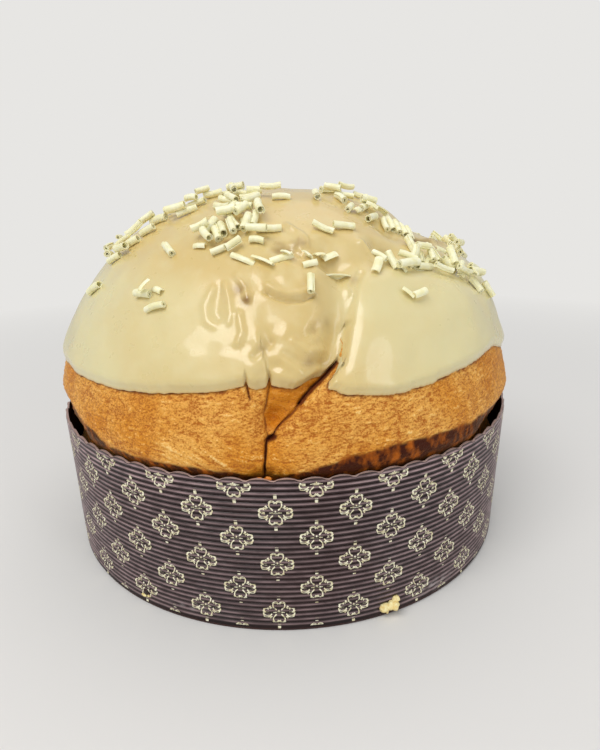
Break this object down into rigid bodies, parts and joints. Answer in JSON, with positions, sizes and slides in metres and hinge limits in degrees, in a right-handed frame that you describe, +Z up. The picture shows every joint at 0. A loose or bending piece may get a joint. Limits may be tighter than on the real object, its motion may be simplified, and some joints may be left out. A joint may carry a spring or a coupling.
{
  "type": "panettone",
  "caption": "Low round panettone in its ribbed paper baking case, a risen golden loaf cracked at the front, with coffee-coloured icing and white chocolate curls.",
  "frame": {"origin": "centre of the case's underside, on the surface it stands on", "axes": "+Z up through the middle of the loaf; -Y is the front, the side with the crack in the crust; +X is to the right seen from the front"},
  "size_m": [0.2106, 0.2103, 0.154],
  "materials": {
    "printed_paper": "dark brown corrugated baking paper with a cream line print, half gloss",
    "plain_paper": "plain dark brown baking paper, matte",
    "crust": "browned sweet bread crust with fine leathery wrinkles, slightly glossy",
    "icing": "smooth set coffee icing with a soft gloss",
    "white_chocolate": "ivory white chocolate, rolled curls and flakes, satin"
  },
  "bodies": {
    "root": {"paper_wall": "printed_paper", "paper_base": "plain_paper", "bread": "crust", "icing": "icing"}
  },
  "joints": []
}
